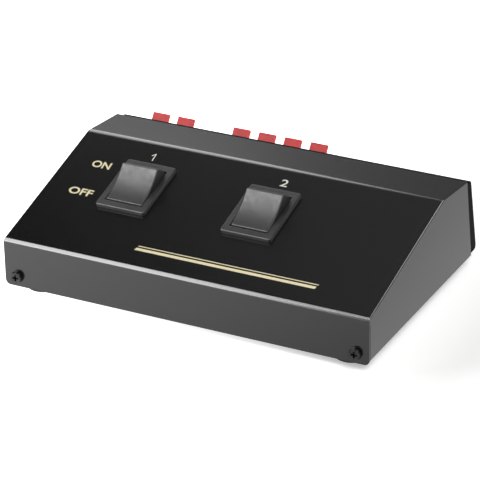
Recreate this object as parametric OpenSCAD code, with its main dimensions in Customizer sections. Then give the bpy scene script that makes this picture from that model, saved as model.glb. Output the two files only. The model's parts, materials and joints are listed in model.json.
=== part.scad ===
// Speaker selector switch: a wedge-shaped desk box with two rocker switches on its slope and
// spring-clip terminals on its rear panel. Two amplifier channels come in on the small terminal
// block; each rocker joins them to one pair of speakers on the large block.
//
// Millimetres. X runs along the box, Y from the front lip to the rear, Z up from the desk.
// The origin is on the desk, under the middle of the whole assembly.

/* [Case] */
// Overall width of the folded cover
case_w = 178; // [170:1:220]
// Height of the vertical front lip
lip_h = 22.3; // [20:0.1:30]
// Gap between the desk and the lower edge of the lip
lip_gap = 3; // [2:0.1:4]
// Length of the sloping top, front fold to crest
slope_len = 80; // [76:0.5:90]
// Angle of the sloping top above the horizontal
slope_angle = 15.6; // [12:0.1:18]
// Length of the rear bevel, crest to its rear edge
bevel_len = 26.3; // [24:0.1:34]
// Angle at which the bevel falls towards the rear
bevel_fall = 5.45; // [3:0.05:8]
// Lean of the sides' rear edges from the vertical
side_lean = 9.2; // [5:0.1:12]
// Lean of the rear panel from the vertical
rear_lean = 11.5; // [8:0.1:13]
// Width of the chassis left bare behind the cover, along the bevel
rear_band = 7; // [3:0.1:8]
// Thickness of the sheet steel
sheet_t = 0.8; // [0.7:0.05:1]
// Outer radius of the cover's front fold
fold_r = 2.3; // [1.6:0.1:2.6]
// Outer radius of the blunt fold at the crest
crest_r = 8; // [6:0.5:10]
// Outer radius of the folds between the cover's top and its sides
side_fold_r = 0.7; // [0.6:0.05:1.4]
// Height of the chassis underside above the lip's lower edge
tray_rise = 2; // [1.5:0.1:3]
// Gap between the cover's sides and the chassis
side_fit = 0.2; // [0.1:0.05:0.4]
// Gap between the bevel and the chassis flange under it
top_fit = 0.8; // [0.2:0.1:1]
// Height of the chassis flange behind the lip
front_flange_h = 9; // [8:0.5:12]

/* [Feet and screws] */
// Diameter of a rubber foot at the chassis
foot_d = 19.4; // [16:0.1:22]
// Distance of the feet in from the sides
foot_in = 13.2; // [13:0.1:20]
// Gap between the front feet and the lip's outer face
foot_front_gap = 2.3; // [1.5:0.1:6]
// Distance of the rear feet in front of the chassis' rear edge
foot_rear_in = 19.2; // [15:0.1:25]
// Distance of the front screws in from the sides
front_screw_in = 6.3; // [6:0.1:11]
// Height of the front screws above the lip's lower edge
front_screw_z = 4.8; // [4.6:0.1:6]
// Head diameter of the case screws
screw_head_d = 5.75; // [5:0.05:6]
// Head height of the case screws
screw_head_h = 2; // [1.6:0.1:2.2]
// Thread diameter of every screw
screw_d = 2.9; // [2.5:0.1:3]

/* [Rocker switches] */
// Places of the two switches along the box
switch_x = [-46.8, 15.6];
// Distance of the switches up the slope from the front fold
switch_v = 48; // [44:0.5:52]
// Bezel size along the box
bezel_w = 24.75; // [24:0.05:26]
// Bezel size up the slope
bezel_l = 32.5; // [32:0.1:34]
// Height of the bezel above the slope
bezel_h = 1.9; // [1.6:0.1:2.4]
// How far the bezel laps over the snap-in body all round
bezel_lap = 1.45; // [1.2:0.05:2]
// Wall of the body beside the rocker
side_wall = 1.6; // [1.4:0.1:2]
// Wall of the body at the rocker's ends
end_wall = 2.1; // [1.8:0.1:2.6]
// Depth of the snap-in body below the slope
body_depth = 18.5; // [18:0.1:20]
// Depth of the rocker's pivot below the slope
pivot_depth = 2.75; // [2.6:0.05:3.5]
// Tilt of the rocker to each side of its middle position
rocker_tilt = 19.2; // [15:0.1:20]
// Half of the angle that the rocker's top spans at the pivot
rocker_half_angle = 48.9; // [45:0.1:50]
// Hollow of the rocker's top between its two edges
rocker_dish = 1.3; // [0.8:0.1:1.8]
// Running gap between the rocker and its opening
rocker_gap = 0.2; // [0.15:0.05:0.4]

/* [Spring-clip terminals] */
// Distance of the input terminal block in from the cover's left side
block_in = 2.8; // [2:0.1:10]
// Gap between the two terminal blocks
block_gap = 2; // [1:0.1:6]
// Number of terminal columns in each block
block_columns = [2, 4];
// Distance between neighbouring columns
column_pitch = 13.26; // [13:0.02:13.6]
// Width of a lever's tab
lever_w = 8.2; // [7.6:0.1:8.4]
// Thickness of a lever's tab
lever_t = 2; // [1.6:0.1:2]
// Length of a lever from its pivot to the tip of its tab
lever_len = 13.4; // [13:0.1:15.5]
// Angle of a resting tab above the rear panel's normal
lever_rest = 41; // [38.5:0.5:42]
// Turn of a lever when it is pressed home
lever_travel = 15; // [12:0.5:16]
// Diameter of a wire hole
wire_hole_d = 3.2; // [2.8:0.1:3.4]
// Distance of the wire holes above and below the block's middle
wire_hole_w = 5; // [4.8:0.1:5.2]

/* [Hidden] */
$fn = 64;
// Gap between pieces that touch or turn in one another
PLAY = 0.05;
// How far a cutter runs past the face it opens
BEYOND = 1;
// Longer than any piece
FAR = 300;

// ---- names ----
SWITCHES = [0, 1];
BLOCKS = ["input", "output"];
ROWS = ["red", "black"];
SWITCH_PIECES = ["housing", "rocker", "plungers", "plunger_springs", "contact_bridges",
                 "common_blades", "on_blades"];
BLOCK_PIECES = ["terminal_housing", "terminal_board", "contact_strips", "terminal_screws"];

function switch_node(s, piece) = str("switch_", s + 1, "_", piece);
function block_node(b, piece) = str(BLOCKS[b], "_", piece);
function lever_node(b, piece, c, row) = str(BLOCKS[b], "_", piece, "_", c + 1, "_", ROWS[row]);

// ---- side-view geometry: points are [y, z] ----
function along(a) = [cos(a), sin(a)];
function cross2(a, b) = a[0] * b[1] - a[1] * b[0];
// Where the line through p in direction a meets the line through q in direction b
function meet(p, a, q, b) = p + a * cross2(q - p, b) / cross2(a, b);
// A closed counter-clockwise outline moved inwards by d
function inset(pts, d) = let (n = len(pts))
    [for (i = [0 : n - 1])
        let (a = pts[(i + n - 1) % n], b = pts[i], c = pts[(i + 1) % n],
             u = (b - a) / norm(b - a), w = (c - b) / norm(c - b))
        meet(b + d * [-u[1], u[0]], u, b + d * [-w[1], w[0]], w)];

lip_foot = [0, lip_gap];
front_fold = [0, lip_gap + lip_h];
crest = front_fold + slope_len * along(slope_angle);
bevel_end = crest + bevel_len * along(-bevel_fall);
side_foot_z = lip_gap + tray_rise + side_fit;
side_foot = meet(bevel_end, along(side_lean - 90), [0, side_foot_z], [1, 0]);

tray_z = lip_gap + tray_rise;
plate_top = tray_z + sheet_t;
tray_half_w = case_w / 2 - sheet_t - side_fit;
tray_fold_r = 2;
rear_fold_r = 2.5;
bevel_under = bevel_end + (sheet_t + top_fit) * along(-bevel_fall - 90);
rear_top = bevel_under + rear_band * along(-bevel_fall);
rear_foot = meet(rear_top, along(rear_lean - 90), [0, tray_z], [1, 0]);
rear_mid = (rear_top + rear_foot) / 2;

foot_x = case_w / 2 - foot_in;
foot_front_y = foot_front_gap + foot_d / 2;
foot_rear_y = rear_foot[0] - foot_rear_in;
front_screw_x = case_w / 2 - front_screw_in;

// ---- sizes of the terminal blocks, in the rear panel's frame: outwards, and up the panel ----
wall_t = 1.6;
funnel_lap = 1;
funnel_land = 0.3;
bar_half_h = wire_hole_w + wire_hole_d / 2 + funnel_lap + funnel_land;
slot_foot = bar_half_h + 0.2;

// ---- levers: [outwards from the panel, up the panel] ----
lever_pivot = [-2.5, slot_foot - 0.1];
lever_tip = lever_pivot + lever_len * along(lever_rest) + lever_t / 2 * along(lever_rest - 90);
// The lower levers' tips reach furthest back
rear_most = rear_mid[0] + lever_tip[0] * cos(rear_lean) + lever_tip[1] * sin(rear_lean);
mid_y = (rear_most - screw_head_h) / 2;

// ---- frames ----
// Puts what is drawn from the lip's outer face into the part's own frame
module in_row() {
    translate([0, -mid_y, 0]) children();
}

// Frame on the slope: X along the box, Y up the slope, Z out of it
module on_slope(x, v) {
    in_row()
        translate([x, front_fold[0] + v * cos(slope_angle), front_fold[1] + v * sin(slope_angle)])
            rotate([slope_angle, 0, 0]) children();
}

// Frame on the rear panel's outer face: X along the box, Y outwards, Z up the panel
module on_rear(x) {
    in_row() translate([x, rear_mid[0], rear_mid[1]]) rotate([rear_lean, 0, 0]) children();
}

// The same frame for an upper (row 0) or a lower (row 1) terminal
module on_terminal(b, c, row) {
    on_rear(column_x(b, c)) mirror([0, 0, row]) children();
}

// Middle of a terminal block: the input block stands by the left side, the output block beside it
function block_x(b) = b == 0
    ? block_in - case_w / 2 + flange_half_w(0)
    : block_x(0) + flange_half_w(0) + block_gap + flange_half_w(1);
function column_x(b, c) = block_x(b) + (c - (block_columns[b] - 1) / 2) * column_pitch;

// A point of the slope's frame, and one of the rear panel's, in the lip's frame
function slope_point(x, v, h) =
    [x,
     front_fold[0] + v * cos(slope_angle) - h * sin(slope_angle),
     front_fold[1] + v * sin(slope_angle) + h * cos(slope_angle)];
function rear_point(x, n, w) =
    [x,
     rear_mid[0] + n * cos(rear_lean) - w * sin(rear_lean),
     rear_mid[1] + n * sin(rear_lean) + w * cos(rear_lean)];

// ---- shared shapes ----
// Extrudes a side view [y, z] along the box
module side_extrude(w, x = 0) {
    translate([x, 0, 0]) rotate([90, 0, 90]) linear_extrude(w, center = true) children();
}

// Turns a drawing about Z into one about X
module about_x() {
    rotate([0, 90, 0]) children();
}

// A convex counter-clockwise outline with a true arc of its own radius at each corner
module rounded_outline(pts, radii) {
    n = len(pts);
    function before(i) = (pts[(i + n - 1) % n] - pts[i]) / norm(pts[(i + n - 1) % n] - pts[i]);
    function after(i) = (pts[(i + 1) % n] - pts[i]) / norm(pts[(i + 1) % n] - pts[i]);
    function half(i) = acos(before(i) * after(i)) / 2;
    polygon([for (i = [0 : n - 1]) each
        radii[i] > 0
            ? [pts[i] + before(i) * radii[i] / tan(half(i)),
               pts[i] + after(i) * radii[i] / tan(half(i))]
            : [pts[i]]]);
    for (i = [0 : n - 1])
        if (radii[i] > 0) {
            bisector = (before(i) + after(i)) / norm(before(i) + after(i));
            translate(pts[i] + bisector * radii[i] / sin(half(i))) circle(radii[i]);
        }
}

// A rectangle with rounded corners, centred
module rounded_rect(w, l, r) {
    square([w - 2 * r, l], center = true);
    square([w, l - 2 * r], center = true);
    for (x = [-1, 1]) for (y = [-1, 1])
        translate([x * (w / 2 - r), y * (l / 2 - r)]) circle(r);
}

// A long bar of rounded section, [x, depth below its top], lying along Y
module rounded_bar(half_w, r) {
    rotate([90, 0, 0]) linear_extrude(FAR, center = true)
        rounded_outline([[-half_w, -FAR / 2], [half_w, -FAR / 2], [half_w, 0], [-half_w, 0]],
                        [0, 0, r, r]);
}

// A pan-head screw with a cross recess along +Z, its head's bearing face at the origin
module pan_screw(length, head_d = screw_head_d, head_h = screw_head_h) {
    recess_w = 0.9;
    recess_l = 3;
    recess_depth = 1.2;
    rim_h = 0.6;
    difference() {
        union() {
            rotate_extrude() intersection() {
                translate([0, -head_h]) square([head_d / 2, head_h]);
                union() {
                    translate([0, -rim_h]) square([head_d / 2, rim_h]);
                    translate([0, -rim_h]) circle(head_d / 2);
                }
            }
            translate([0, 0, -PLAY]) cylinder(d = screw_d, h = length + PLAY);
        }
        for (a = [0, 90]) rotate(a)
            translate([-recess_l / 2, -recess_w / 2, -head_h - BEYOND])
                cube([recess_l, recess_w, recess_depth + BEYOND]);
    }
}

// ---- case ----
// The cover's outer skin moved inwards by d, closed below and behind
module cover_solid(d) {
    deep = 20;
    open_end = d > 0 ? 10 : 0;
    base = [lip_foot[0], lip_foot[1] - deep];
    tail = bevel_end + open_end * along(-bevel_fall);
    tail_foot = meet(tail, along(side_lean - 90), base, [1, 0]);
    side_r = max(side_fold_r - d, 0);
    // where the skin has a sharp edge, the bars that round it stand clear of it
    lift = side_r > 0 ? 0 : BEYOND;
    intersection() {
        side_extrude(case_w - 2 * d)
            rounded_outline(inset([base, tail_foot, tail, crest, front_fold], d),
                            [0, 0, 0, crest_r - d, fold_r - d]);
        translate([0, crest[0], crest[1]]) rotate([slope_angle, 0, 0]) translate([0, 0, lift - d])
            rounded_bar(case_w / 2 + lift - d, side_r);
        translate([0, crest[0], crest[1]]) rotate([-bevel_fall, 0, 0]) translate([0, 0, lift - d])
            rounded_bar(case_w / 2 + lift - d, side_r);
    }
}

switch_cut_clear = 0.4;
screw_hole_clear = 0.3;
// Angle brackets inside the cover's sides, which take the rear screws
bracket_l = 12;
bracket_w = 13;
bracket_h = 9;
rear_screw_ahead = 15.4;
rear_screw_x = case_w / 2 - sheet_t - bracket_w / 2;
rear_screw_y = foot_rear_y - rear_screw_ahead;

module cover() {
    seam = 0.3;
    seam_top = front_fold[1] - fold_r - 0.6;
    color([0.2, 0.2, 0.21]) in_row() difference() {
        union() {
            difference() {
                cover_solid(0);
                cover_solid(sheet_t);
                // below the lip, and below the sides behind it
                translate([-case_w, -BEYOND, lip_gap - FAR]) cube([2 * case_w, FAR, FAR]);
                translate([-case_w, sheet_t, side_foot_z - FAR]) cube([2 * case_w, FAR, FAR]);
            }
            for (m = [0, 1]) mirror([m, 0, 0])
                translate([case_w / 2 - sheet_t, rear_screw_y - bracket_l / 2, plate_top]) {
                    translate([-bracket_w, 0, 0]) cube([bracket_w, bracket_l, sheet_t]);
                    translate([-sheet_t, 0, 0]) cube([sheet_t, bracket_l, bracket_h]);
                }
        }
        for (m = [0, 1]) mirror([m, 0, 0]) {
            // the seam between the lip and the side, and the lip's rounded lower corner
            translate([case_w / 2 - 3 * sheet_t, sheet_t, 0]) cube([4 * sheet_t, seam, seam_top]);
            translate([case_w / 2, sheet_t + seam / 2, lip_gap]) rotate([90, 0, 0])
                linear_extrude(sheet_t + BEYOND) lip_corner();
            translate([front_screw_x, -BEYOND, lip_gap + front_screw_z]) rotate([-90, 0, 0])
                cylinder(d = screw_d + screw_hole_clear, h = sheet_t + 2 * BEYOND);
            translate([rear_screw_x, rear_screw_y, plate_top - BEYOND])
                cylinder(d = screw_d + 2 * PLAY, h = sheet_t + 2 * BEYOND);
        }
        for (x = switch_x) translate(slope_point(x, switch_v, 0)) rotate([slope_angle, 0, 0])
            cube([body_w + switch_cut_clear, body_l + switch_cut_clear, 8], center = true);
    }
}

// What the lip's lower corner loses to its rounding; the corner is at the origin
module lip_corner() {
    corner_r = 2.5;
    difference() {
        translate([-corner_r, -BEYOND]) square(corner_r + BEYOND);
        translate([-corner_r, corner_r]) circle(corner_r);
    }
}

flange_top = tray_z + front_flange_h;
top_flange_l = 14.5;
side_flange_w = 12;
side_flange_gap = 0.5;

// The closed outline round the chassis, moved inwards by d
function tray_outline(d) =
    inset([[sheet_t, tray_z], rear_foot, rear_top,
           meet(rear_top, along(-bevel_fall), [sheet_t, 0], [0, 1])], d);

module tray_region(d) {
    r = tray_fold_r - d;
    top_r = rear_fold_r - d;
    rounded_outline(tray_outline(d), [r, r, top_r, 0]);
}

module chassis() {
    hole_r = screw_d / 2 + PLAY;
    through = 8;
    color([0.05, 0.05, 0.05]) in_row() difference() {
        intersection() {
            union() {
                // bottom plate, front flange, rear panel and top flange, folded from one strip
                side_extrude(2 * tray_half_w) difference() {
                    tray_region(0);
                    tray_region(sheet_t);
                    translate([0, flange_top]) square([rear_top[0] - top_flange_l, FAR]);
                }
                // side flanges of the rear panel
                for (s = [-1, 1])
                    side_extrude(sheet_t, s * (tray_half_w - sheet_t / 2)) intersection() {
                        tray_region(sheet_t / 2);
                        translate(rear_foot) rotate(rear_lean)
                            translate([-side_flange_w, -BEYOND]) square([side_flange_w, FAR]);
                        translate([0, plate_top + side_flange_gap]) square(FAR);
                    }
            }
            // rounded folds between the rear panel, its side flanges and the top flange
            translate([0, rear_mid[0], rear_mid[1]]) rotate([rear_lean - 90, 0, 0])
                rounded_bar(tray_half_w, side_fold_r);
            translate([0, rear_top[0], rear_top[1]]) rotate([-bevel_fall, 0, 0])
                rounded_bar(tray_half_w, side_fold_r);
        }
        for (b = [0, 1]) translate(rear_point(block_x(b), 0, 0)) rotate([rear_lean, 0, 0]) {
            cube([2 * block_half_w(b) + 2 * cut_clear, through, 2 * block_half_h + 2 * cut_clear],
                 center = true);
            for (s = [-1, 1]) translate([s * block_screw_x(b), 0, 0]) rotate([90, 0, 0])
                cylinder(r = hole_r, h = through, center = true);
        }
        for (m = [0, 1]) mirror([m, 0, 0]) {
            translate([front_screw_x, 0, lip_gap + front_screw_z]) rotate([-90, 0, 0])
                cylinder(r = hole_r, h = through);
            for (at = [[rear_screw_x, rear_screw_y], [foot_x, foot_front_y], [foot_x, foot_rear_y]])
                translate([at[0], at[1], tray_z - BEYOND])
                    cylinder(r = hole_r, h = sheet_t + 2 * BEYOND);
        }
    }
}

front_screw_l = 8;
rear_screw_l = 6;
foot_screw_l = 5.2;

module front_screws() {
    color([0.08, 0.08, 0.08]) in_row() for (s = [-1, 1])
        translate([s * front_screw_x, 0, lip_gap + front_screw_z]) rotate([-90, 0, 0])
            pan_screw(front_screw_l);
}

module rear_screws() {
    color([0.08, 0.08, 0.08]) in_row() for (s = [-1, 1])
        translate([s * rear_screw_x, rear_screw_y, tray_z]) pan_screw(rear_screw_l);
}

foot_recess_d = screw_head_d + 3.8;
foot_recess_h = 2.6;

module rubber_feet() {
    chamfer = 0.8;
    hole_d = screw_d + 0.4;
    taper = 0.6;
    color([0.1, 0.1, 0.1]) in_row()
        for (s = [-1, 1]) for (y = [foot_front_y, foot_rear_y]) translate([s * foot_x, y, 0])
            rotate_extrude()
                polygon([[foot_recess_d / 2, 0],
                         [foot_d / 2 - taper - chamfer, 0],
                         [foot_d / 2 - taper, chamfer],
                         [foot_d / 2, tray_z],
                         [hole_d / 2, tray_z],
                         [hole_d / 2, foot_recess_h],
                         [foot_recess_d / 2, foot_recess_h]]);
}

module foot_screws() {
    color([0.6, 0.6, 0.62]) in_row()
        for (s = [-1, 1]) for (y = [foot_front_y, foot_rear_y])
            translate([s * foot_x, y, foot_recess_h]) pan_screw(foot_screw_l);
}

// ---- rocker switches: drawn in the slope's frame, centred on the bezel ----
body_w = bezel_w - 2 * bezel_lap;
body_l = bezel_l - 2 * bezel_lap;
opening_w = body_w - 2 * side_wall;
opening_l = body_l - 2 * end_wall;
floor_t = 1.5;
partition_t = 1.2;

// The body holds two poles side by side, each in its own chamber
chamber_w = (opening_w - partition_t) / 2;
pole_x = (partition_t + chamber_w) / 2;
blade_side_gap = 1.2;
blade_w = chamber_w - 2 * blade_side_gap;
blade_t = 0.8;
blade_out = 6;
ear_w = 1.1;
ear_h = 1.6;

rocker_w = opening_w - 2 * rocker_gap;
rocker_r = opening_l / 2 - rocker_gap;
skirt_h = 2.2;
// The partition stays clear of the rocker's lower edge at its lowest
partition_top = -pivot_depth - rocker_r * sin(rocker_tilt) - skirt_h * cos(rocker_tilt) - rocker_gap;
trunnion_r = 1.5;
plunger_r = 1.5;
plunger_l = 5.4;
tip_depth = body_depth - 8.5;
plunger_top = plunger_l - tip_depth;

// Contacts: the bridge rocks on the ears of the common blade, over the ON blade's shelf
bridge_t = 0.8;
bridge_gap = 0.42;
bridge_rise = 16.7;
bridge_tilt = 7;
bridge_w = 5;
notch_gap = 0.2;
seat_h = -pivot_depth - tip_depth - bridge_gap - bridge_t;
contact_r = 1.4;
contact_t = 0.5;
contact_back = 2.4;
on_blade_y = 2.3 - opening_l / 2;
contact_arm = -on_blade_y - contact_back;
bridge_front = contact_arm + 1.2;
bridge_rear = contact_arm - 2;

module switch_housing(s) {
    rim_r = 0.5;
    corner_r = 1.1;
    barb = 0.9;
    barb_l = 4.5;
    barb_w = 9;
    barb_root = 0.5;
    slot_w = 0.8;
    slot_in = 0.2;
    slot_depth = 3;
    barb_top = -sheet_t - 2 * PLAY;
    barb_foot = -sheet_t - barb_l;
    color([0.16, 0.16, 0.17]) on_slope(switch_x[s], switch_v) difference() {
        union() {
            // bezel with a rounded rim
            rotate([90, 0, 0]) linear_extrude(bezel_l - 2 * corner_r, center = true)
                bezel_section(bezel_w, rim_r);
            rotate([90, 0, 90]) linear_extrude(bezel_w - 2 * corner_r, center = true)
                bezel_section(bezel_l, rim_r);
            for (x = [-1, 1]) for (y = [-1, 1])
                translate([x * (bezel_w / 2 - corner_r), y * (bezel_l / 2 - corner_r), 0])
                    rotate_extrude() intersection() {
                        bezel_section(2 * corner_r, rim_r);
                        square([corner_r, bezel_h]);
                    }
            translate([-body_w / 2, -body_l / 2, -body_depth])
                cube([body_w, body_l, body_depth + bezel_h / 2]);
            // snap-in barbs that grip the sheet from below
            for (m = [0, 1]) mirror([0, m, 0]) side_extrude(barb_w)
                polygon([[body_l / 2 - barb_root, barb_top], [body_l / 2 + barb, barb_top],
                         [body_l / 2, barb_foot], [body_l / 2 - barb_root, barb_foot]]);
        }
        // the well for the rocker and the contacts, split by a partition
        difference() {
            translate([-opening_w / 2, -opening_l / 2, -body_depth + floor_t])
                cube([opening_w, opening_l, body_depth + bezel_h]);
            translate([-partition_t / 2, -body_l / 2, -body_depth])
                cube([partition_t, body_l, body_depth + partition_top]);
        }
        // trunnion bearings
        translate([0, 0, -pivot_depth]) about_x()
            cylinder(r = trunnion_r + PLAY, h = body_w + 2 * BEYOND, center = true);
        // slots beside the barbs, which let them flex
        for (mx = [0, 1]) for (my = [0, 1]) mirror([mx, 0, 0]) mirror([0, my, 0])
            translate([barb_w / 2 + slot_in, body_l / 2 - slot_depth, barb_foot - 1.5])
                cube([slot_w, 2 * slot_depth, barb_l + 1.5]);
        // blade slots in the floor
        for (p = [-1, 1]) for (y = [0, on_blade_y])
            translate([p * pole_x, y, -body_depth])
                cube([blade_w + 2 * PLAY, blade_t + 2 * PLAY, 2 * floor_t + BEYOND], center = true);
    }
}

// The bezel's section across a width w, with rounded upper edges
module bezel_section(w, rim_r) {
    rounded_outline([[-w / 2, PLAY], [w / 2, PLAY], [w / 2, bezel_h], [-w / 2, bezel_h]],
                    [0, 0, rim_r, rim_r]);
}

// The rocker's top is dished by a large drum that lies above it
dish_half = rocker_r * sin(rocker_half_angle);
dish_r = (dish_half * dish_half + rocker_dish * rocker_dish) / (2 * rocker_dish);
dish_z = rocker_r * cos(rocker_half_angle) - rocker_dish + dish_r;

// Centre of the arc of radius q that rounds a tip between the drum and the dish
function tip_centre(q) =
    let (a = rocker_r - q, b = dish_r + q, z = (a * a - b * b + dish_z * dish_z) / (2 * dish_z))
    [sqrt(a * a - z * z), z];
tip_r = 0.5;
// The sharp corner outside that arc, a little enlarged
tip_corner = let (c = tip_centre(tip_r), on_drum = c * rocker_r / norm(c), to_dish = [0, dish_z] - c)
    [c, 2 * on_drum - c, 2 * tip_centre(0) - c, c + 2 * tip_r * to_dish / norm(to_dish)];

// The stems under the rocker, bored for the plungers and their springs
stem_r = 2.3;
stem_foot = 2.6 - tip_depth;
stem_bore_top = 2.5;
spring_end_gap = 0.25;

module rocker(s) {
    wall = 1.4;
    edge = 0.6;
    keel_h = 2.6;
    keel_y = 4;
    reach = rocker_r + BEYOND;
    stem_root = dish_z - dish_r - 0.4;
    color([0.16, 0.16, 0.17])
        on_slope(switch_x[s], switch_v) translate([0, 0, -pivot_depth])
            rotate([rocker_tilt, 0, 0]) {
        difference() {
            // drum about the pivot, with rounded rims, cut off below
            intersection() {
                about_x() rotate_extrude()
                    intersection() {
                        rounded_rect(2 * rocker_r, rocker_w, edge);
                        translate([0, -rocker_w]) square([2 * rocker_r, 2 * rocker_w]);
                    }
                side_extrude(rocker_w + BEYOND) {
                    difference() {
                        polygon([[-reach, -skirt_h], [-keel_y, -keel_h], [keel_y, -keel_h],
                                 [reach, -skirt_h], [reach, reach], [-reach, reach]]);
                        for (m = [0, 1]) mirror([m, 0]) polygon(tip_corner);
                    }
                    for (m = [0, 1]) mirror([m, 0]) translate(tip_centre(tip_r)) circle(tip_r);
                }
            }
            // dished top, flared at the sides into rounded edges
            translate([0, 0, dish_z]) about_x() rotate_extrude() dish_section(edge);
            // hollow underside
            side_extrude(rocker_w - 2 * wall) difference() {
                circle(rocker_r - wall);
                translate([0, dish_z]) circle(dish_r + wall);
            }
        }
        about_x() difference() {
            cylinder(r = trunnion_r, h = body_w - 4 * PLAY, center = true);
            cylinder(r = trunnion_r + BEYOND, h = rocker_w - 2 * wall, center = true);
        }
        for (p = [-1, 1]) translate([p * pole_x, 0, 0]) difference() {
            translate([0, 0, stem_foot]) cylinder(r = stem_r, h = stem_root - stem_foot);
            translate([0, 0, stem_foot - BEYOND])
                cylinder(r = plunger_r + 2 * PLAY, h = stem_bore_top - stem_foot + BEYOND);
        }
    }
}

// Section of the drum that cuts the dish: [radius, along the box]
module dish_section(edge) {
    flat = rocker_w / 2 - edge;
    difference() {
        translate([0, -rocker_w]) square([dish_r + edge, 2 * rocker_w]);
        translate([dish_r, -flat]) square([2 * edge, 2 * flat]);
        for (e = [-1, 1]) translate([dish_r + edge, e * flat]) circle(edge);
    }
}

module plungers(s) {
    color([0.85, 0.83, 0.75]) on_slope(switch_x[s], switch_v) translate([0, 0, -pivot_depth])
        rotate([rocker_tilt, 0, 0]) for (p = [-1, 1]) translate([p * pole_x, 0, 0])
            rotate_extrude() plunger_section();
}

// A round-nosed pin: its nose is a full ball
module plunger_section() {
    nose_z = plunger_r - tip_depth;
    translate([0, nose_z]) square([plunger_r, plunger_top - nose_z]);
    intersection() {
        translate([0, nose_z]) circle(plunger_r);
        translate([0, -tip_depth]) square([plunger_r, plunger_r]);
    }
}

module plunger_springs(s) {
    foot = plunger_top + spring_end_gap;
    color([0.75, 0.75, 0.77]) on_slope(switch_x[s], switch_v) translate([0, 0, -pivot_depth])
        rotate([rocker_tilt, 0, 0]) for (p = [-1, 1]) translate([p * pole_x, 0, foot])
            coil(1.2, 0.2, stem_bore_top - spring_end_gap - foot, 6, 8, 5);
}

module contact_bridges(s) {
    notch_l = blade_t + 1.4;
    notch_in = blade_w / 2 - ear_w - notch_gap;
    color([0.8, 0.62, 0.3]) on_slope(switch_x[s], switch_v) translate([0, 0, seat_h])
        rotate([-bridge_tilt, 0, 0]) for (p = [-1, 1]) translate([p * pole_x, 0, 0]) {
            difference() {
                side_extrude(bridge_w) vee_section();
                // notches that straddle the ears of the common blade
                for (m = [0, 1]) mirror([m, 0, 0])
                    translate([notch_in, -notch_l / 2, -BEYOND])
                        cube([bridge_w, notch_l, 3 * bridge_t + BEYOND]);
            }
            rotate([-bridge_rise, 0, 0]) translate([0, -contact_arm, -contact_t])
                cylinder(r = contact_r, h = contact_t + 2 * PLAY);
        }
}

// Side view of a bridge: two wings rising from the seat
module vee_section() {
    slope = tan(bridge_rise);
    lift = bridge_t / cos(bridge_rise);
    polygon([[0, 0], [bridge_rear, bridge_rear * slope], [bridge_rear, bridge_rear * slope + lift],
             [0, lift], [-bridge_front, bridge_front * slope + lift],
             [-bridge_front, bridge_front * slope]]);
}

module common_blades(s) {
    color([0.8, 0.62, 0.3]) on_slope(switch_x[s], switch_v) for (p = [-1, 1])
        translate([p * pole_x, 0, 0]) difference() {
            translate([-blade_w / 2, -blade_t / 2, -body_depth - blade_out])
                cube([blade_w, blade_t, seat_h + ear_h + body_depth + blade_out]);
            translate([-blade_w / 2 + ear_w, -blade_t, seat_h])
                cube([blade_w - 2 * ear_w, 2 * blade_t, 2 * ear_h]);
            blade_eye();
        }
}

// Hole near the foot of a blade
module blade_eye() {
    eye_d = 1.2;
    eye_up = 1.6;
    translate([0, 0, -body_depth - blade_out + eye_up]) rotate([90, 0, 0])
        cylinder(d = eye_d, h = FAR, center = true);
}

// Height of the fixed contact's face: the bridge's contact comes to rest just above it
closed_rise = bridge_rise - bridge_tilt;
closed_gap = 0.08;
fixed_contact_h = seat_h + contact_arm * sin(closed_rise) - contact_t * cos(closed_rise)
    - contact_r * sin(closed_rise) - closed_gap;

module on_blades(s) {
    shelf_l = blade_t / 2 + contact_back + contact_r + 0.8;
    shelf_top = fixed_contact_h - contact_t;
    contact_y = -contact_arm * cos(closed_rise);
    color([0.8, 0.62, 0.3]) on_slope(switch_x[s], switch_v) for (p = [-1, 1])
        translate([p * pole_x, 0, 0]) {
            difference() {
                translate([-blade_w / 2, on_blade_y - blade_t / 2, -body_depth - blade_out])
                    cube([blade_w, blade_t, shelf_top + body_depth + blade_out]);
                blade_eye();
            }
            translate([-blade_w / 2, on_blade_y - blade_t / 2, shelf_top - blade_t])
                cube([blade_w, shelf_l, blade_t]);
            translate([0, contact_y, shelf_top - 2 * PLAY])
                cylinder(r = contact_r, h = contact_t + 2 * PLAY);
        }
}

// A coil of round wire along +Z: mean radius, wire radius, length, turns, steps a turn, sides
module coil(radius, wire_r, length, turns, steps, sides) {
    n = turns * steps;
    lead = length - 2 * wire_r;
    function centre(i) =
        let (a = 360 * i / steps)
        [radius * cos(a), radius * sin(a), wire_r + lead * i / n];
    tube([for (i = [0 : n]) centre(i)], wire_r, sides, [0, 0, 1]);
}

// A closed tube of the given number of sides along a list of points; side_dir is never parallel
// to the tube
module tube(path, r, sides, side_dir) {
    n = len(path);
    function tangent(i) = unit(path[min(i + 1, n - 1)] - path[max(i - 1, 0)]);
    function across(i) = unit(cross(tangent(i), side_dir));
    function ring(i) =
        let (u = across(i), v = cross(tangent(i), u))
        [for (k = [0 : sides - 1]) path[i] + r * (cos(360 * k / sides) * u + sin(360 * k / sides) * v)];
    points = [for (i = [0 : n - 1]) each ring(i)];
    walls = [for (i = [0 : n - 2]) for (k = [0 : sides - 1])
        let (a = i * sides + k, b = i * sides + (k + 1) % sides)
        each [[a, a + sides, b + sides], [a, b + sides, b]]];
    caps = [[for (k = [0 : sides - 1]) k], [for (k = [sides - 1 : -1 : 0]) (n - 1) * sides + k]];
    polyhedron(points, concat(walls, caps));
}

// ---- spring-clip terminals: drawn in the rear panel's frame ----
pressed = lever_rest + lever_travel;
slot_clear = 0.2;
slot_side_clear = 0.3;
front_in = -0.6;
flange_t = 1.6;
flange_rim = 0.8;
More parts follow.
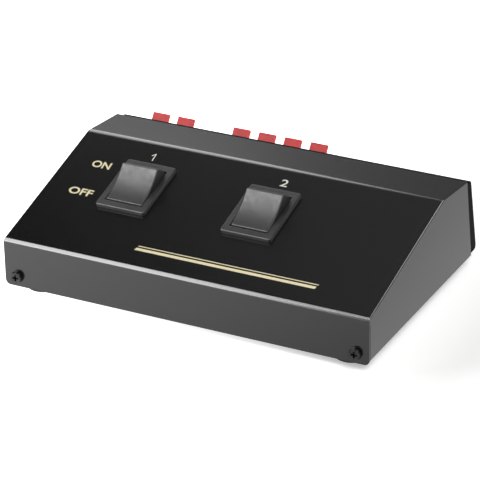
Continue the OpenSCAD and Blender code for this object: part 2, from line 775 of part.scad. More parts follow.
// Upper face of a lever's slot, as far outwards as n: it runs along the pressed lever
function slot_top(n) =
    lever_pivot[1] + (n - lever_pivot[0]) * tan(pressed) + (lever_t / 2 + slot_clear) / cos(pressed);

ear_l = 6.2;
cut_clear = 0.2;
cell_roof_in = 0.6;
cell_top = slot_top(front_in) + cell_roof_in;
block_half_h = cell_top + 1.2;
flange_half_h = slot_top(flange_t) + flange_rim;
cell_w = column_pitch - wall_t;
bar_out = 3;
body_in = -11.4;
board_t = 1.6;
peg_r = 0.6;
pin_r = 1;

// Contact strips: they lie just above the wire's way, between the arms of the lever
strip_t = 0.6;
strip_w = wire_hole_w + wire_hole_d / 2 + 0.1 + strip_t / 2;
strip_in = -6;
lug_end = -19;
lug_w = 3.8;
arm_t = 1.2;
arm_out = lever_w / 2 - 0.1;
arm_in = arm_out - arm_t;
strip_side_gap = 0.3;

// The lug that a lever's spring pushes on, and the rung that lifts the wire
spring_seat = -4.6;
spring_w = lever_pivot[1] + 3.1;
hook_in = -9.9;
hook_out = -8.3;
rung = [wire_hole_w - wire_hole_d / 2, wire_hole_w - 0.1];

function block_half_w(b) = (block_columns[b] * column_pitch + wall_t) / 2;
function flange_half_w(b) = block_half_w(b) + ear_l;
function block_screw_x(b) = block_half_w(b) + ear_l / 2;
function columns(b) = [for (c = [0 : block_columns[b] - 1]) column_x(b, c) - block_x(b)];

module terminal_housing(b) {
    half_w = block_half_w(b);
    hole_r = wire_hole_d / 2;
    corner_r = 1.2;
    seat = 0.5;
    color([0.07, 0.07, 0.07]) on_rear(block_x(b)) {
        difference() {
            union() {
                // flange on the outside of the panel
                translate([0, PLAY, 0]) rotate([-90, 0, 0]) linear_extrude(flange_t - PLAY)
                    rounded_rect(2 * flange_half_w(b), 2 * flange_half_h, corner_r);
                translate([-half_w, body_in, -block_half_h])
                    cube([2 * half_w, -body_in + seat, 2 * block_half_h]);
                // raised bar that holds the wire holes
                side_extrude(2 * half_w)
                    polygon([[0, -slot_foot], [bar_out, -bar_half_h], [bar_out, bar_half_h],
                             [0, slot_foot]]);
            }
            for (x = columns(b)) for (m = [0, 1]) translate([x, 0, 0]) mirror([0, 0, m]) {
                // cell, open towards the board
                translate([-cell_w / 2, body_in - BEYOND, wall_t / 2])
                    cube([cell_w, front_in - body_in + BEYOND, cell_top - wall_t / 2]);
                // lever slot
                side_extrude(lever_w + 2 * slot_side_clear)
                    polygon([[front_in - PLAY, slot_foot], [flange_t + BEYOND, slot_foot],
                             [flange_t + BEYOND, slot_top(flange_t + BEYOND)],
                             [front_in - PLAY, slot_top(front_in - PLAY)]]);
                // wire hole with its funnel
                translate([0, 0, wire_hole_w]) rotate([-90, 0, 0]) {
                    translate([0, 0, front_in - BEYOND])
                        cylinder(r = hole_r, h = bar_out - front_in + 2 * BEYOND);
                    translate([0, 0, bar_out - funnel_lap])
                        cylinder(r1 = hole_r, r2 = hole_r + funnel_lap, h = funnel_lap + 0.001);
                }
                // bearings for the lever's pins
                translate([0, lever_pivot[0], lever_pivot[1]]) about_x()
                    cylinder(r = pin_r + PLAY, h = column_pitch + wall_t + 2 * PLAY, center = true);
            }
            for (s = [-1, 1]) translate([s * block_screw_x(b), 0, 0]) rotate([-90, 0, 0])
                cylinder(d = screw_d + screw_hole_clear, h = 10, center = true);
        }
        // pegs staked over the board
        for (s = [-1, 1]) translate([s * (half_w - wall_t / 2), body_in, 0]) rotate([90, 0, 0]) {
            translate([0, 0, -seat]) cylinder(r = peg_r, h = board_t + seat + 4 * PLAY);
            translate([0, 0, board_t + PLAY]) cylinder(r1 = 2 * peg_r, r2 = peg_r + 0.2, h = 0.5);
        }
    }
}

module terminal_board(b) {
    half_w = block_half_w(b);
    trim = 0.2;
    color([0.45, 0.27, 0.13]) on_rear(block_x(b)) difference() {
        translate([-half_w + trim, body_in - board_t, -block_half_h + trim])
            cube([2 * (half_w - trim), board_t, 2 * (block_half_h - trim)]);
        for (x = columns(b)) for (m = [-1, 1])
            translate([x, body_in - board_t / 2, m * strip_w])
                cube([lug_w + 2 * PLAY, board_t + BEYOND, strip_t + 2 * PLAY], center = true);
        for (s = [-1, 1]) translate([s * (half_w - wall_t / 2), 0, 0]) rotate([90, 0, 0])
            cylinder(r = peg_r + PLAY, h = FAR, center = true);
    }
}

module contact_strips(b) {
    inner_w = 2 * (arm_in - strip_side_gap);
    eye_d = 1.5;
    eye_in = 3;
    color([0.78, 0.78, 0.74]) on_rear(block_x(b)) for (x = columns(b)) for (m = [-1, 1])
        translate([x, 0, m * strip_w]) difference() {
            union() {
                translate([-inner_w / 2, body_in + PLAY, -strip_t / 2])
                    cube([inner_w, strip_in - body_in - PLAY, strip_t]);
                translate([-lug_w / 2, lug_end, -strip_t / 2])
                    cube([lug_w, strip_in - lug_end, strip_t]);
            }
            translate([0, lug_end + eye_in, 0]) cylinder(d = eye_d, h = 2 * strip_t, center = true);
        }
}

module terminal_screws(b) {
    head_d = 5.2;
    head_h = 1.7;
    length = 6;
    color([0.6, 0.6, 0.62]) on_rear(block_x(b)) for (s = [-1, 1])
        translate([s * block_screw_x(b), flange_t, 0]) rotate([90, 0, 0])
            pan_screw(length, head_d, head_h);
}

module lever(b, c, row) {
    hub_r = 1.7;
    tip_r = 0.6;
    lug_half_w = arm_in - 0.2;
    pin_end = column_pitch / 2 - 2 * PLAY;
    pivot_n = lever_pivot[0];
    pivot_w = lever_pivot[1];
    arm_top = pivot_w + 1.6;
    lug_top = spring_w + 1.8;
    color(row == 0 ? [0.85, 0.16, 0.17] : [0.08, 0.08, 0.08]) on_terminal(b, c, row) {
        // tab, with a rounded tip
        side_extrude(lever_w) translate(lever_pivot) rotate(lever_rest) {
            translate([0, -lever_t / 2]) square([lever_len - tip_r, lever_t]);
            translate([0, -lever_t / 2 + tip_r]) square([lever_len, lever_t - 2 * tip_r]);
            for (e = [-1, 1]) translate([lever_len - tip_r, e * (lever_t / 2 - tip_r)]) circle(tip_r);
        }
        side_extrude(2 * arm_out) translate(lever_pivot) circle(hub_r);
        translate([0, pivot_n, pivot_w]) about_x() cylinder(r = pin_r, h = 2 * pin_end, center = true);
        side_extrude(2 * lug_half_w)
            polygon([[spring_seat, pivot_w], [pivot_n + 0.1, pivot_w - 0.8], [pivot_n - 0.5, lug_top],
                     [spring_seat, lug_top]]);
        // stirrup: two arms and the rung
        for (s = [-1, 1]) side_extrude(arm_t, s * (arm_out - arm_t / 2))
            polygon([[pivot_n, arm_top], [hook_in, arm_top], [hook_in, rung[0]],
                     [hook_out, rung[0]], [hook_out, pivot_w], [pivot_n, pivot_w]]);
        side_extrude(2 * arm_out)
            polygon([[hook_in, rung[0]], [hook_out, rung[0]], [hook_out, rung[1]],
                     [hook_in, rung[1]]]);
    }
}

module lever_spring(b, c, row) {
    spring_r = 1.8;
    wire_d = 0.5;
    end_gap = 0.1;
    color([0.75, 0.75, 0.77]) on_terminal(b, c, row)
        translate([0, body_in + end_gap, spring_w]) rotate([-90, 0, 0])
            coil(spring_r, wire_d / 2, spring_seat - body_in - 2 * end_gap, 4, 10, 6);
}

// ---- hook-up wires ----
wire_r = 0.8;

function unit(v) = v / norm(v);
// Points of a smooth curve through the given points
function spline(pts, steps) = let (last = len(pts) - 1)
    [for (i = [0 : last - 1]) for (k = [0 : steps - 1])
        let (p = pts[i], q = pts[i + 1], t = k / steps,
             u = norm(q - p) * unit(q - pts[max(i - 1, 0)]),
             v = norm(q - p) * unit(pts[min(i + 2, last)] - p))
        (1 + 2 * t) * (1 - t) * (1 - t) * p + t * (1 - t) * (1 - t) * u
            + t * t * (3 - 2 * t) * q - t * t * (1 - t) * v,
     pts[last]];

// A wire through the given points, with a short straight lead at each end
module wire(pts, side_dir) {
    last = len(pts) - 1;
    lead = 0.4;
    from = pts[0] + lead * unit(pts[1] - pts[0]);
    to = pts[last] + lead * unit(pts[last - 1] - pts[last]);
    bent = concat([from], [for (i = [1 : last - 1]) pts[i]], [to]);
    in_row() tube(concat([pts[0]], spline(bent, 4), [pts[last]]), wire_r, 8, side_dir);
}

joint_gap = 0.03;
// Where a wire leaves a contact strip's lug, and the point a little further on
function lug_point(b, c, row, back, dx = 0) =
    rear_point(column_x(b, c) + dx, lug_end - joint_gap - back, (row == 0 ? 1 : -1) * strip_w);
// Where a wire leaves the rear face of a common blade
function common_point(s, p, h, back) =
    slope_point(switch_x[s] + p * pole_x, switch_v + blade_t / 2 + joint_gap + back, h);
// Where a wire leaves the foot of an ON blade
function on_point(s, p, down) =
    slope_point(switch_x[s] + p * pole_x, switch_v + on_blade_y,
                -body_depth - blade_out - joint_gap - down);

feed_h = -body_depth - 1.6;
link_h = -body_depth - blade_out + 1.2;

module input_wires() {
    color([0.75, 0.1, 0.1]) for (i = [0, 1]) {
        p = 2 * i - 1;
        wire([lug_point(0, i, 0, 0), lug_point(0, i, 0, 4),
              (lug_point(0, i, 0, 4) + common_point(0, p, feed_h, 4)) / 2 + [0, 0, -2],
              common_point(0, p, feed_h, 4), common_point(0, p, feed_h, 0)], [1, 0, 0]);
    }
}

module link_wires() {
    color([0.75, 0.1, 0.1]) for (i = [0, 1]) {
        p = 2 * i - 1;
        bulge = 8 - 3 * i;
        dip = [0, 0, -2.4 * i];
        wire([common_point(0, p, link_h, 0), common_point(0, p, link_h, 2),
              common_point(0, p, link_h, bulge) + [5, 0, 0] + dip,
              common_point(1, p, link_h, bulge) - [5, 0, 0] + dip,
              common_point(1, p, link_h, 2), common_point(1, p, link_h, 0)], [0, 0, 1]);
    }
}

module output_wires(s) {
    floor_z = plate_top + wire_r + 2.2;
    color(s == 0 ? [0.75, 0.1, 0.1] : [0.8, 0.45, 0.1]) for (i = [0, 1]) {
        start = on_point(s, 2 * i - 1, 0);
        end = lug_point(1, 2 * s + i, 0, 5);
        run = end - start;
        wire([start, on_point(s, 2 * i - 1, 1),
              [start[0] + run[0] * 0.12, start[1] + 6.5, floor_z],
              [start[0] + run[0] * 0.5, start[1] + run[1] * 0.55, floor_z],
              end, lug_point(1, 2 * s + i, 0, 0)], [1, 0, 0]);
    }
}

module return_wires() {
    spread = 1.1;
    color([0.06, 0.06, 0.06]) for (i = [0, 1]) {
        drop = [0, 0, -3.4 * i];
        return_link([0, i], [1, i], 0, spread, drop);
        return_link([1, i], [1, i + 2], spread, spread, drop);
    }
}

// One return wire between the lower lugs of two [block, column] terminals
module return_link(from, to, dx_from, dx_to, drop) {
    bulge = 5;
    wire([lug_point(from[0], from[1], 1, 0, dx_from), lug_point(from[0], from[1], 1, 1.5, dx_from),
          lug_point(from[0], from[1], 1, bulge, dx_from + 4) + drop,
          lug_point(to[0], to[1], 1, bulge, -dx_to - 4) + drop,
          lug_point(to[0], to[1], 1, 1.5, -dx_to), lug_point(to[0], to[1], 1, 0, -dx_to)],
         [0, 0, 1]);
}

// ---- assembly ----
cover();
chassis();
front_screws();
rear_screws();
rubber_feet();
foot_screws();
for (s = SWITCHES) {
    switch_housing(s);
    rocker(s);
    plungers(s);
    plunger_springs(s);
    contact_bridges(s);
    common_blades(s);
    on_blades(s);
}
for (b = [0, 1]) {
    terminal_housing(b);
    terminal_board(b);
    contact_strips(b);
    terminal_screws(b);
    for (c = [0 : block_columns[b] - 1]) for (r = [0, 1]) {
        lever(b, c, r);
        lever_spring(b, c, r);
    }
}
input_wires();
link_wires();
output_wires(0);  // output_1_wires
output_wires(1);  // output_2_wires
return_wires();
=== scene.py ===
"""Finishes, printed marks and studio for a desktop speaker selector: a folded-steel case with two
rocker switches on its slope and push-tab wire terminals behind."""

import json
import math

import bmesh
import bpy
from mathutils import Matrix, Quaternion, Vector


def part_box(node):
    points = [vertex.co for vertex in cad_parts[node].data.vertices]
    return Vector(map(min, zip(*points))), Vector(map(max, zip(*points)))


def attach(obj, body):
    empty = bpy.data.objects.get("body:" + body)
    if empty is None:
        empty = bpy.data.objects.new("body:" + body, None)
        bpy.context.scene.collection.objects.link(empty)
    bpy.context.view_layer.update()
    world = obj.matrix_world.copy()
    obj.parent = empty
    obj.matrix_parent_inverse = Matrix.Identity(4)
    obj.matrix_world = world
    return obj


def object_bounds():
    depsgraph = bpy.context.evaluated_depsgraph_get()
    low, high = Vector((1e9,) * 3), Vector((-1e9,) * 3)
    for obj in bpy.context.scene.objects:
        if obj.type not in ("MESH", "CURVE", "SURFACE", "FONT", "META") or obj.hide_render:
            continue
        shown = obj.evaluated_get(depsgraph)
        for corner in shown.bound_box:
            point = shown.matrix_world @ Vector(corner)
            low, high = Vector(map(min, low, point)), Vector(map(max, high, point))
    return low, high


bl_info = {
    "name": "Speaker Selector Switch",
    "version": (1, 0, 0),
    "blender": (4, 5, 0),
    "location": "View3D > Sidebar > Switch Box",
    "description": "Finishes, printed marks and studio for a desktop speaker selector",
    "category": "Object",
}

MM = 0.001
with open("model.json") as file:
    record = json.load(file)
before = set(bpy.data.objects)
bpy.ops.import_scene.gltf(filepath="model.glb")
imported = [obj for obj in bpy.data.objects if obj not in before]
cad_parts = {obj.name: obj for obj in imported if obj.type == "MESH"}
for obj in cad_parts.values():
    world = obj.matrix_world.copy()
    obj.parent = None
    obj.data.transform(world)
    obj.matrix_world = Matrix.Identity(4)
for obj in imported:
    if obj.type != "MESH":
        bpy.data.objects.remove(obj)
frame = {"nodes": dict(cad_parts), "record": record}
CAD_LOW, CAD_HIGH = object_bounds()
COVER_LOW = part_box("cover")[0]

# The case's body in the record, which the printed marks ride on
CASE = "case"

# Middle of each printed mark, in millimetres: to the right of the middle of the box, and up the
# slope from the front fold
MARK_PLACES = {
    "mark_on": (-70.2, 58.4),
    "mark_off": (-70.5, 38.8),
    "mark_1": (-49.3, 70.3),
    "mark_2": (16.55, 70.2),
    "stripe_fine": (16, 13.2),
    "stripe_broad": (15.4, 11.2),
}

# Corners of a plain numeral one, in millimetres from its middle: a stem, and a flag to the left
NUMERAL_ONE = (
    (-0.22, -2.45), (0.24, -2.45), (0.24, 2.45), (-0.05, 2.45), (-1.65, 0.9), (-1.4, 0.5),
    (-0.22, 1.65),
)

# Values of a noise that all but a few of its cells lie between: a finish's colours change over
# the first span, and its gloss over the second
COLOUR_SPAN = (0.35, 0.65)
GLOSS_SPAN = (0.3, 0.7)

# Cards that only glossy surfaces see, each where one fold of the cover mirrors it: direction from
# the box, width and height in metres, and power in watts
CARD_DISTANCE = 1.4
CARDS = {
    # upper edge of the front fold
    "key_card": ((-0.46, -0.34, 0.84), (0.5, 0.5), 10),
    # fold above the slope
    "crest_card": ((-0.52, 0.72, 0.54), (0.5, 0.52), 3.2),
    # middle of the front fold
    "upper_card": ((-0.54, -0.66, 0.62), (0.7, 0.6), 20),
    # fold to the right side
    "edge_card": ((0.545, 0.53, 0.64), (0.5, 0.5), 8),
    # lower edge of the front fold
    "lower_card": ((-0.62, -0.86, 0.2), (0.7, 0.6), 24),
}

# These cards are screened off from all but the cover, so that the switches' flanks stay dark
SCREENED_CARDS = ("edge_card", "lower_card")


# ---- settings ----
class MarkSettings(bpy.types.PropertyGroup):
    """Sizes and colours of the silk-screened marks on the slope."""

    slope_angle: bpy.props.FloatProperty(
        name="Slope angle", description="Angle of the sloping top above the horizontal",
        default=math.radians(15.6), unit="ROTATION", subtype="ANGLE")
    fold_height: bpy.props.FloatProperty(
        name="Fold height", description="Height of the front fold above the desk",
        default=25.3 * MM, unit="LENGTH", subtype="DISTANCE")
    letter_height: bpy.props.FloatProperty(
        name="Letter height", description="Height of the capitals in ON and OFF",
        default=4.45 * MM, unit="LENGTH", subtype="DISTANCE")
    digit_height: bpy.props.FloatProperty(
        name="Digit height", description="Height of the switch numbers",
        default=4.8 * MM, unit="LENGTH", subtype="DISTANCE")
    slant: bpy.props.FloatProperty(
        name="Slant", description="Shear of the letters, to the right if positive",
        default=-0.06)
    ink_thickness: bpy.props.FloatProperty(
        name="Ink thickness", description="How far the ink stands above the paint",
        default=0.03 * MM, unit="LENGTH", subtype="DISTANCE")
    letter_ink: bpy.props.StringProperty(
        name="Letter ink", description="Colour of ON, OFF and the stripes, as sRGB hex",
        default="#F5E9BE")
    digit_ink: bpy.props.StringProperty(
        name="Digit ink", description="Colour of the switch numbers, as sRGB hex",
        default="#F6F2E4")


class FinishSettings(bpy.types.PropertyGroup):
    """Colours that a user would change, as sRGB hex."""

    cover: bpy.props.StringProperty(
        name="Cover", description="Enamel of the cover", default="#111111")
    chassis: bpy.props.StringProperty(
        name="Chassis", description="Enamel of the chassis", default="#040404")
    switch: bpy.props.StringProperty(
        name="Switch", description="Plastic of the rockers and bezels", default="#262626")
    lever: bpy.props.StringProperty(
        name="Positive lever", description="Plastic of the upper terminal levers",
        default="#E0282A")


class StudioSettings(bpy.types.PropertyGroup):
    """Camera and light."""

    distance: bpy.props.FloatProperty(
        name="Distance", description="From the camera to the point it turns about",
        default=1.2154, unit="LENGTH", subtype="DISTANCE")
    focal_length: bpy.props.FloatProperty(
        name="Focal length", description="Focal length on a 36 mm sensor, in millimetres",
        default=206.23)
    pitch: bpy.props.FloatProperty(
        name="Pitch", description="How far the camera looks down",
        default=0.461, unit="ROTATION", subtype="ANGLE")
    yaw: bpy.props.FloatProperty(
        name="Yaw", description="How far the camera stands to the right of the front",
        default=0.481, unit="ROTATION", subtype="ANGLE")
    roll: bpy.props.FloatProperty(
        name="Roll", description="Turn of the picture about the line of sight",
        default=-0.019, unit="ROTATION", subtype="ANGLE")
    horizon: bpy.props.FloatVectorProperty(
        name="Horizon", description="Brightness of the white room at eye level, left and right",
        size=2, default=(0.5, 0.2))
    ceiling: bpy.props.FloatVectorProperty(
        name="Ceiling", description="Brightness of the room overhead, left and right",
        size=2, default=(0.0, 0.32))
    glow_left: bpy.props.FloatProperty(
        name="Left glow", description="Light from inside the table, at its left", default=1.75)
    glow_right: bpy.props.FloatProperty(
        name="Right glow", description="Light from inside the table, at its right", default=0.14)


# ---- tools for finishes ----
def linear(code):
    """The linear RGBA of an sRGB hex colour."""
    channels = [int(code[i:i + 2], 16) / 255 for i in (1, 3, 5)]
    return [c / 12.92 if c <= 0.04045 else ((c + 0.055) / 1.055) ** 2.4 for c in channels] + [1]


def shade(code, factor):
    """A hex colour made lighter or darker."""
    return "#" + "".join(
        f"{max(0, min(255, round(int(code[i:i + 2], 16) * factor))):02X}" for i in (1, 3, 5))


def add(tree, kind, sockets=None, **settings):
    """Adds a node with its settings; each socket gets a value, or a link from another socket."""
    node = tree.nodes.new(kind)
    for name, value in settings.items():
        setattr(node, name, value)
    for name, value in (sockets or {}).items():
        if isinstance(value, bpy.types.NodeSocket):
            tree.links.new(value, node.inputs[name])
        else:
            node.inputs[name].default_value = value
    return node


def surface(name, **sockets):
    """A material with a Principled shader whose sockets have the given values."""
    material = bpy.data.materials.new(name)
    material.use_nodes = True
    shader = material.node_tree.nodes["Principled BSDF"]
    for socket, value in sockets.items():
        shader.inputs[socket.replace("_", " ")].default_value = value
    return material


def pattern(material, size_mm, stretch=(1, 1, 1), detail=2.0, rough=0.5):
    """A random pattern on the object's own coordinates, with cells about size_mm wide."""
    tree = material.node_tree
    place = add(tree, "ShaderNodeTexCoord").outputs["Object"]
    stretched = add(tree, "ShaderNodeMapping", {"Vector": place, "Scale": stretch})
    return add(tree, "ShaderNodeTexNoise", {
        "Vector": stretched.outputs["Vector"], "Scale": 1 / (size_mm * MM), "Detail": detail,
        "Roughness": rough}).outputs["Fac"]


def dress(material, colour, roughness=None, relief=None, under=None):
    """Lays patterns on a surface. Colour is a pattern and the dark and light hex colours that it
    runs between, roughness a pattern and its two limits, and relief a pattern, its depth in
    millimetres and its strength, laid over the normal given as under."""
    tree = material.node_tree
    sockets = tree.nodes["Principled BSDF"].inputs
    cells, *codes = colour
    ramp = add(tree, "ShaderNodeValToRGB", {"Fac": cells})
    for stop, position, code in zip(ramp.color_ramp.elements, COLOUR_SPAN, codes):
        stop.position = position
        stop.color = linear(code)
    tree.links.new(ramp.outputs["Color"], sockets["Base Color"])
    if roughness is not None:
        cells, low, high = roughness
        gloss = add(tree, "ShaderNodeMapRange", {
            "Value": cells, "From Min": GLOSS_SPAN[0], "From Max": GLOSS_SPAN[1],
            "To Min": low, "To Max": high})
        tree.links.new(gloss.outputs["Result"], sockets["Roughness"])
    if relief is not None:
        cells, depth_mm, strength = relief
        bump = add(tree, "ShaderNodeBump", {
            "Height": cells, "Distance": depth_mm * MM, "Strength": strength})
        if under is not None:
            tree.links.new(under, bump.inputs["Normal"])
        tree.links.new(bump.outputs["Normal"], sockets["Normal"])
    return material


# ---- finishes ----
def satin_enamel():
    """Black stoving enamel sprayed on folded steel: a sheen smooth enough to draw a line of light
    along each fold, with faint orange peel."""
    code = bpy.context.scene.box_finish.cover
    material = surface("satin_black_enamel", Roughness=0.18, IOR=1.5)
    cloud = pattern(material, 60, detail=3)
    haze = pattern(material, 0.5, detail=4, rough=0.7)
    peel = pattern(material, 1.1, detail=1.5)
    return dress(material, colour=(cloud, shade(code, 0.92), shade(code, 1.1)),
                 roughness=(haze, 0.172, 0.188), relief=(peel, 0.001, 0.5))


def matt_enamel():
    """The same enamel sprayed thinner on the chassis: blacker and flatter."""
    code = bpy.context.scene.box_finish.chassis
    material = surface("matt_black_enamel", Roughness=0.55, IOR=1.5, Specular_IOR_Level=0.04)
    cloud = pattern(material, 40, detail=3)
    peel = pattern(material, 0.8, detail=3, rough=0.6)
    return dress(material, colour=(cloud, shade(code, 0.85), shade(code, 1.15)),
                 roughness=(peel, 0.5, 0.62), relief=(peel, 0.006, 0.6))


def spark_grain(name, code, grain_mm, depth_mm, roughness):
    """Black plastic from a spark-eroded mould: a fine satin grain, blotchy from fingers. The real
    grain is finer, and is drawn at 0.3 mm or more so that it shows."""
    material = surface(name, Roughness=sum(roughness) / 2, IOR=1.53)
    cloud = pattern(material, 9, detail=3)
    handling = pattern(material, 2.5, detail=5, rough=0.6)
    grain = pattern(material, grain_mm, detail=2, rough=0.6)
    # moulded corners are never sharp: the rounding catches a thin line of light
    corners = add(material.node_tree, "ShaderNodeBevel", {"Radius": 0.3 * MM}, samples=6)
    return dress(material, colour=(cloud, shade(code, 0.9), shade(code, 1.12)),
                 roughness=(handling, *roughness), relief=(grain, depth_mm, 0.8),
                 under=corners.outputs["Normal"])


def rocker_nylon():
    """Nylon of the rockers: the coarsest grain, where fingers press."""
    return spark_grain("moulded_nylon_rocker", bpy.context.scene.box_finish.switch,
                       grain_mm=0.35, depth_mm=0.016, roughness=(0.37, 0.53))


def body_nylon():
    """Nylon of the bezels and switch bodies: a little darker and smoother than the rockers."""
    return spark_grain("moulded_nylon_bezel", shade(bpy.context.scene.box_finish.switch, 0.85),
                       grain_mm=0.3, depth_mm=0.008, roughness=(0.34, 0.46))


def terminal_abs():
    """ABS of the terminal housings: plain satin moulding."""
    return spark_grain("moulded_abs_housing", "#141414",
                       grain_mm=0.3, depth_mm=0.008, roughness=(0.38, 0.5))


def glossy_abs(name, dark, light, glow):
    """ABS from a polished mould, dulled by handling: cloudy pigment, light bleeds into edges."""
    material = surface(name, Roughness=0.45, IOR=1.53, Specular_IOR_Level=0.12,
                       Subsurface_Weight=glow,
                       Subsurface_Scale=0.6 * MM, Subsurface_Radius=(1.0, 0.25, 0.15))
    swirl = pattern(material, 5, stretch=(1, 0.5, 1), detail=3)
    scuff = pattern(material, 0.6, stretch=(1, 3, 3), detail=3, rough=0.7)
    return dress(material, colour=(swirl, dark, light), roughness=(scuff, 0.34, 0.48),
                 relief=(swirl, 0.02, 0.5))


def lever_red():
    """Red ABS of the positive levers."""
    code = bpy.context.scene.box_finish.lever
    return glossy_abs("glossy_red_abs", shade(code, 0.94), shade(code, 1.05), glow=0.25)


def lever_black():
    """Black ABS of the negative levers."""
    return glossy_abs("glossy_black_abs", "#121212", "#191919", glow=0.0)


def foot_rubber():
    """Moulded rubber: matt, with a faint grey bloom and handling marks."""
    material = surface("moulded_black_rubber", Roughness=0.75, IOR=1.52)
    bloom = pattern(material, 3, detail=4, rough=0.6)
    grain = pattern(material, 0.4, detail=2)
    return dress(material, colour=(bloom, "#151515", "#262524"), roughness=(bloom, 0.68, 0.85),
                 relief=(grain, 0.02, 0.5))


def plated_metal(name, dark, light, grain_mm, roughness, stretch=(1, 1, 1)):
    """A bare or plated metal: slightly uneven colour, and gloss that changes along its grain,
    which is drawn coarser than the real one so that it shows."""
    material = surface(name, Metallic=1.0, Roughness=sum(roughness) / 2)
    cloud = pattern(material, 2.5, detail=3)
    grain = pattern(material, grain_mm, stretch=stretch, detail=3, rough=0.6)
    return dress(material, colour=(cloud, dark, light), roughness=(grain, *roughness),
                 relief=(grain, 0.003, 0.5))


def black_oxide():
    """Black-oxide steel of the case screws: near black, with bright worn glints."""
    return plated_metal("black_oxide_steel", "#2A2A2B", "#3E3D3C",
                        grain_mm=0.3, roughness=(0.25, 0.4))


def zinc_plate():
    """Bright zinc on steel: pale blue-grey."""
    return plated_metal("bright_zinc_plate", "#A9ADB1", "#C9CBCC",
                        grain_mm=0.25, roughness=(0.22, 0.38))


def spring_steel():
    """Drawn spring wire: the brightest metal, with a fine unevenness."""
    return plated_metal("drawn_spring_steel", "#9B9B9C", "#BDBDBE",
                        grain_mm=0.12, roughness=(0.18, 0.3))


def rolled_brass():
    """Brass strip: rolling lines, and the first brown of tarnish."""
    return plated_metal("rolled_brass_strip", "#B58A45", "#D9B569",
                        grain_mm=0.2, roughness=(0.22, 0.4), stretch=(1, 1, 0.1))


def tinned_strip():
    """Hot-tinned strip: soft grey, dulled where the tin ran thicker."""
    return plated_metal("tinned_strip", "#B4B4AE", "#D2D2CB",
                        grain_mm=0.4, roughness=(0.25, 0.45))


def phenolic_board():
    """Paper laminate: brown resin with pale paper fibres lying in the sheet."""
    material = surface("phenolic_paper_laminate", Roughness=0.4, IOR=1.6)
    fibre = pattern(material, 0.5, stretch=(0.2, 1, 1), detail=4, rough=0.7)
    cloud = pattern(material, 6, detail=3)
    # fibres times clouds, lifted to the middle of the colours
    lift = 0.25
    fleck = add(material.node_tree, "ShaderNodeMath", {0: fibre, 1: cloud, 2: lift},
                operation="MULTIPLY_ADD")
    return dress(material, colour=(fleck.outputs["Value"], "#5A3216", "#8A5A2E"),
                 roughness=(fibre, 0.34, 0.5), relief=(fibre, 0.01, 0.5))


def plunger_nylon():
    """Natural nylon: milky white, waxy, light goes into it."""
    material = surface("natural_nylon", Roughness=0.4, IOR=1.53, Subsurface_Weight=0.4,
                       Subsurface_Scale=0.8 * MM)
    cloud = pattern(material, 1.5, detail=3)
    return dress(material, colour=(cloud, "#DCD7C6", "#EBE7DA"), roughness=(cloud, 0.34, 0.48))


def wire_pvc(name, dark, light):
    """PVC wire insulation: extruded, glossy, faintly uneven."""
    material = surface(name, Roughness=0.35, IOR=1.53)
    ripple = pattern(material, 1.6, detail=2)
    return dress(material, colour=(ripple, dark, light), roughness=(ripple, 0.28, 0.42),
                 relief=(ripple, 0.02, 0.5))


def screen_ink(name, code):
    """Silk-screen ink: flat, matt, and a little thinner where the mesh printed. The mesh is drawn
    at 0.3 mm so that it shows."""
    material = surface(name, Roughness=0.6, IOR=1.5)
    mesh_print = pattern(material, 0.3, detail=2)
    return dress(material, colour=(mesh_print, shade(code, 0.93), code),
                 roughness=(mesh_print, 0.52, 0.68))


def light_table(left, right):
    """Opal acrylic of a light table: matt white, lit from inside and more so at the left, so that
    shadows stay faint and the lip's reflection fades to the right. A second lamp evens out the
    near right corner, which nothing mirrors."""
    material = surface("opal_acrylic_light_table", Roughness=0.95, IOR=1.4,
                       Emission_Color=(1, 1, 1, 1))
    tree = material.node_tree
    place = add(tree, "ShaderNodeSeparateXYZ", {
        "Vector": add(tree, "ShaderNodeTexCoord").outputs["Object"]}).outputs
    # the light fades over this distance to either side of the middle
    reach = 0.12
    fade = add(tree, "ShaderNodeMapRange", {
        "Value": place["X"], "From Min": -reach, "From Max": reach, "To Min": left,
        "To Max": right})
    # the second lamp grows with the distance to the right plus the distance to the front
    corner_start, corner_end, corner_glow = 0.16, 0.23, 0.4
    nearer = add(tree, "ShaderNodeMath", {0: place["X"], 1: place["Y"]}, operation="SUBTRACT")
    corner = add(tree, "ShaderNodeMapRange", {
        "Value": nearer.outputs["Value"], "From Min": corner_start, "From Max": corner_end,
        "To Min": 0, "To Max": corner_glow})
    glow = add(tree, "ShaderNodeMath", {
        0: fade.outputs["Result"], 1: corner.outputs["Result"]}, operation="ADD")
    tree.links.new(glow.outputs["Value"],
                   tree.nodes["Principled BSDF"].inputs["Emission Strength"])
    tooth = pattern(material, 3, detail=3)
    return dress(material, colour=(tooth, "#F7F7F6", "#FAFAFA"))


def finish_slots(makers):
    """Gives every CAD node of the record's material slots its finish."""
    materials = {slot: maker() for slot, maker in makers.items()}
    finished = set()
    for row in frame["record"]["subparts"]:
        slot = row["material_slot"]
        if slot in materials:
            finished.add(slot)
            for place in frame["nodes"][row["node"]].material_slots:
                place.material = materials[slot]
    if finished != set(makers):
        raise RuntimeError(f"no node has the slots {sorted(set(makers) - finished)}")


# ---- tools for objects ----
def mesh_of(bm, name):
    """The shape of a bmesh as a mesh; the bmesh is freed."""
    mesh = bpy.data.meshes.new(name)
    bm.to_mesh(mesh)
    bm.free()
    return mesh


def link_object(name, data):
    """A new object of the scene."""
    thing = bpy.data.objects.new(name, data)
    bpy.context.scene.collection.objects.link(thing)
    return thing


